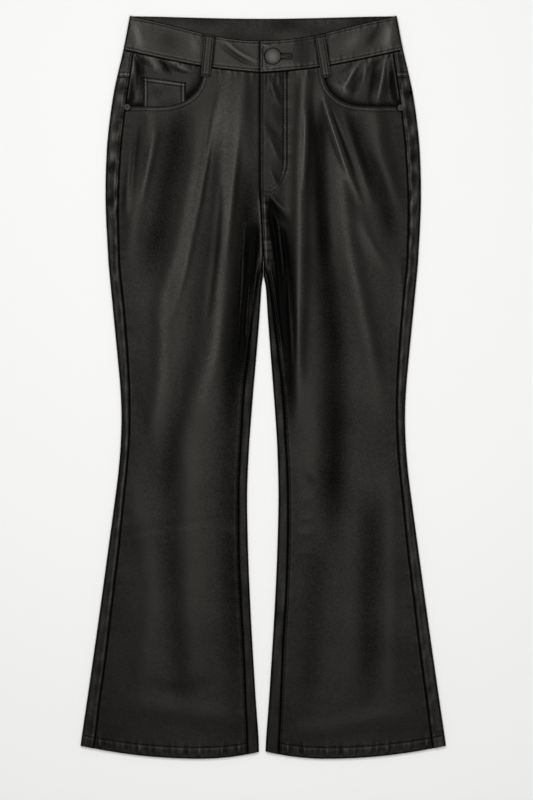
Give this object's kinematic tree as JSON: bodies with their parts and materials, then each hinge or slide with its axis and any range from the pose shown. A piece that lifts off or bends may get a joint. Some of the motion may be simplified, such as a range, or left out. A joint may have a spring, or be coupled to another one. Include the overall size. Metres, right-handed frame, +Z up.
{
  "type": "leather trousers",
  "caption": "Flared leather trousers with scooped pockets, a coin pocket, belt loops and a buttoned fly, laid flat on their back.",
  "frame": {"origin": "middle of the garment's outline, on its flat underside", "axes": "+X across to the wearer's left, +Y from the hems up to the waist, +Z up out of the front"},
  "size_m": [0.5116, 1.0388, 0.0144],
  "materials": {
    "leather": "smooth black leather with a soft sheen and a fine grain",
    "pocket_leather": "the same black leather, creased, under the pocket mouths",
    "gunmetal": "dark gunmetal plating with a satin sheen"
  },
  "bodies": {
    "root": {"back_leg_right": "leather", "front_leg_right": "leather", "yoke_right": "leather", "waistband_right": "leather", "pocket_facing_right": "pocket_leather", "back_leg_left": "leather", "front_leg_left": "leather", "yoke_left": "leather", "waistband_left": "leather", "pocket_facing_left": "pocket_leather", "coin_pocket": "pocket_leather", "belt_loop_front_right": "leather", "belt_loop_front_left": "leather", "belt_loop_back_right": "leather", "belt_loop_back_centre": "leather", "belt_loop_back_left": "leather", "button": "gunmetal", "rivet_right": "gunmetal", "rivet_left": "gunmetal"}
  },
  "joints": []
}
